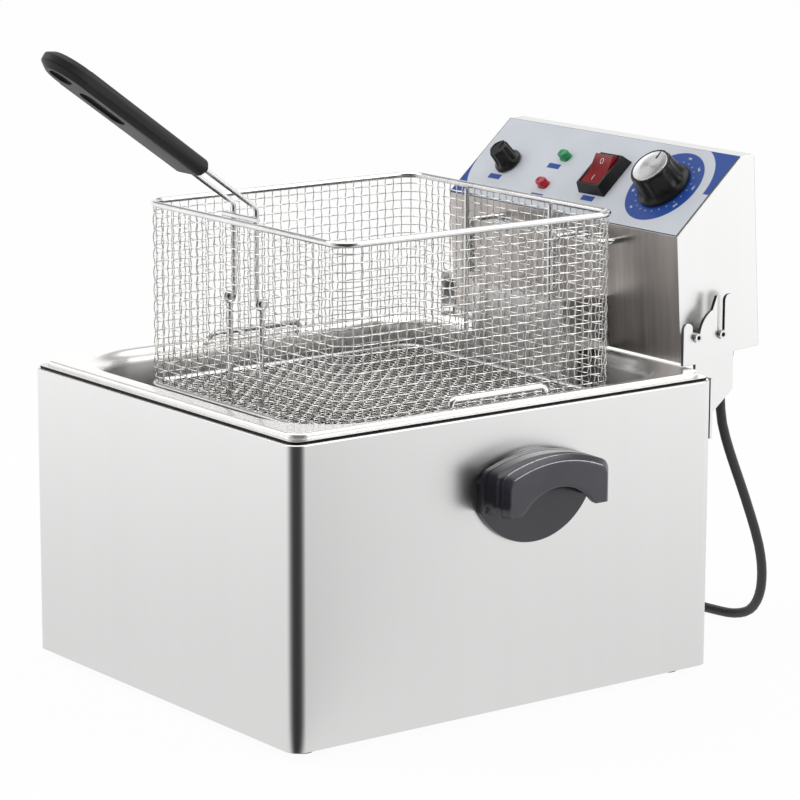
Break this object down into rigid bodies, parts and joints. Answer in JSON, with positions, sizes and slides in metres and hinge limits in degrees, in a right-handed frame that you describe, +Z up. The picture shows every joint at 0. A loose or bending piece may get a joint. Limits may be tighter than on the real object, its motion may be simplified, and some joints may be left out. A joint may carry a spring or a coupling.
{
  "type": "deep fryer",
  "caption": "Countertop electric deep fryer: steel housing and tank, tilting control head with heating element, and a wire basket with a folding handle.",
  "frame": {"origin": "middle of the object's footprint on the floor, without its free cord", "axes": "+X to the right seen from the front, +Y from the front to the control head, +Z up"},
  "size_m": [0.422, 0.617, 0.5048],
  "materials": {
    "sheet_steel": "brushed",
    "bright_wire": "bright",
    "foot_rubber": "matte",
    "fastener_steel": "satin",
    "handle_plastic": "gloss",
    "cord_rubber": "satin",
    "pin_brass": "satin",
    "panel_face": "satin",
    "element_steel": "dull",
    "unit_metal": "satin",
    "unit_plastic": "matte",
    "bulb_copper": "satin",
    "black_plastic": "satin",
    "cap_aluminium": "spun",
    "rocker_red": "gloss",
    "button_red": "satin",
    "lamp_green": "translucent",
    "lamp_red": "translucent",
    "grip_plastic": "satin"
  },
  "bodies": {
    "base": {"outer_housing": "sheet_steel", "base_plate": "sheet_steel", "rear_panel": "sheet_steel", "top_frame": "sheet_steel", "tank": "sheet_steel", "tank_loop_left": "bright_wire", "tank_loop_right": "bright_wire", "foot_front_left": "foot_rubber", "foot_front_right": "foot_rubber", "foot_rear_left": "foot_rubber", "foot_rear_right": "foot_rubber", "foot_screws": "fastener_steel", "pull_plate_left": "handle_plastic", "pull_plate_right": "handle_plastic", "pull_hood_left": "handle_plastic", "pull_hood_right": "handle_plastic", "pull_screws": "fastener_steel", "ear_left": "sheet_steel", "ear_right": "sheet_steel", "ear_screws": "fastener_steel", "power_cord": "cord_rubber", "cord_coil": "cord_rubber", "cord_tie": "cord_rubber", "plug_body": "cord_rubber", "plug_pins": "pin_brass"},
    "head": {"head_case": "sheet_steel", "head_base_plate": "sheet_steel", "head_back_cover": "sheet_steel", "head_screws": "fastener_steel", "control_panel": "panel_face", "pivot_pins": "fastener_steel", "basket_hanger": "bright_wire", "heating_element": "element_steel", "element_flange": "fastener_steel", "element_cover": "sheet_steel", "thermostat_unit": "unit_metal", "thermostat_bulb": "bulb_copper", "bulb_clip": "fastener_steel", "timer_unit": "unit_metal", "high_limit_unit": "unit_plastic", "terminal_block": "unit_plastic", "switch_body": "black_plastic", "green_lamp": "lamp_green", "red_lamp": "lamp_red", "cord_gland": "cord_rubber"},
    "basket": {"basket_rim": "bright_wire", "basket_base_frame": "bright_wire", "basket_mesh_walls": "bright_wire", "basket_mesh_bottom": "bright_wire", "basket_supports": "bright_wire", "basket_hooks": "bright_wire"},
    "basket_handle": {"handle_wires": "bright_wire", "handle_grip": "grip_plastic"},
    "timer_knob_body": {"timer_knob": "black_plastic"},
    "thermostat_knob_body": {"thermostat_knob": "black_plastic", "thermostat_cap": "cap_aluminium"},
    "rocker_body": {"rocker": "rocker_red"},
    "reset_button_body": {"reset_button": "button_red"}
  },
  "joints": [
    {"name": "head_tilt", "type": "hinge", "parent": "base", "child": "head", "pos_m": [0, 0.23232, 0.2645], "axis": [-1, 0, 0], "range_deg": [0, 60], "deforming": ["power_cord"]},
    {"name": "basket_lift", "type": "slide", "parent": "head", "child": "basket", "axis": [0, 0, 1], "range_m": [0, 0.2]},
    {"name": "handle_fold", "type": "hinge", "parent": "basket", "child": "basket_handle", "pos_m": [0, -0.11188, 0.30579], "axis": [-1, 0, 0], "range_deg": [0, 100]},
    {"name": "thermostat_turn", "type": "hinge", "parent": "head", "child": "thermostat_knob_body", "pos_m": [0.0907, 0.22443, 0.37674], "axis": [0, -0.6625, 0.7491], "range_deg": [-280, 0]},
    {"name": "timer_turn", "type": "hinge", "parent": "head", "child": "timer_knob_body", "pos_m": [-0.1008, 0.22083, 0.37356], "axis": [0, -0.6625, 0.7491], "range_deg": [-300, 0]},
    {"name": "switch_rock", "type": "hinge", "parent": "head", "child": "rocker_body", "pos_m": [0.02, 0.22208, 0.37667], "axis": [-1, 0, 0], "range_deg": [0, 24]},
    {"name": "reset_press", "type": "slide", "parent": "head", "child": "reset_button_body", "axis": [0, -0.9981, -0.061], "range_m": [0, 0.0025], "stiffness_N_per_m": 400, "springref_m": -0.002}
  ]
}
